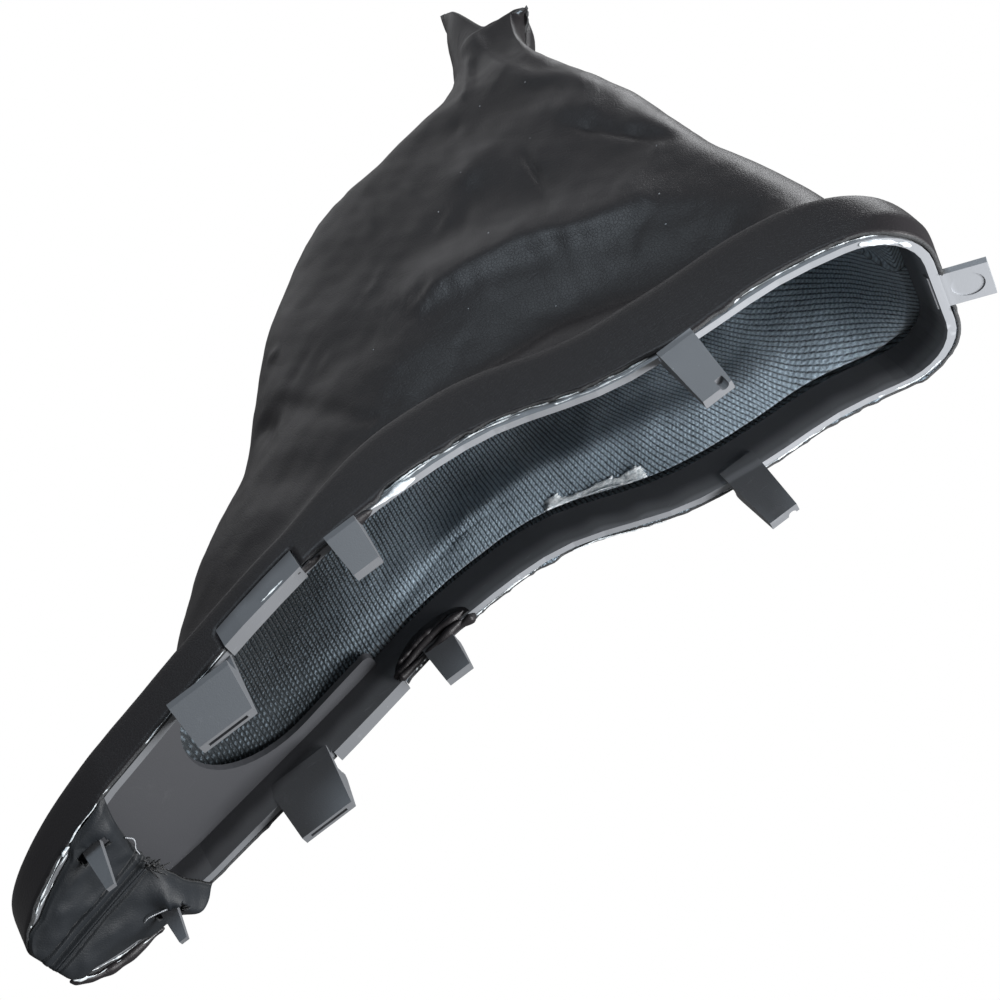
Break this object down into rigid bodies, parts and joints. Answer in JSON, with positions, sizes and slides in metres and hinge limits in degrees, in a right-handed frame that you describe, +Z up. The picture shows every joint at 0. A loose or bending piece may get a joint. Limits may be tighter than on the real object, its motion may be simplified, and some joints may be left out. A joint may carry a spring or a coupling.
{
  "type": "handbrake boot",
  "caption": "Tapered leatherette boot glued round an arched plastic snap-in frame, with an open mouth below and a narrow neck above for a lever.",
  "frame": {"origin": "bottom centre of the bounding box, on the surface that the clips stand on", "axes": "+X toward the round rear end with the hook tab, +Y toward the far side, +Z up toward the neck"},
  "size_m": [0.3262, 0.0736, 0.2353],
  "materials": {
    "frame_plastic": "mid-grey moulded plastic, satin, with scuffs and glue residue",
    "leatherette": "charcoal grained leatherette with a blue-grey ribbed knit backing"
  },
  "bodies": {
    "root": {"base_frame": "frame_plastic", "boot_panel_near": "leatherette", "boot_panel_far": "leatherette"}
  },
  "joints": []
}
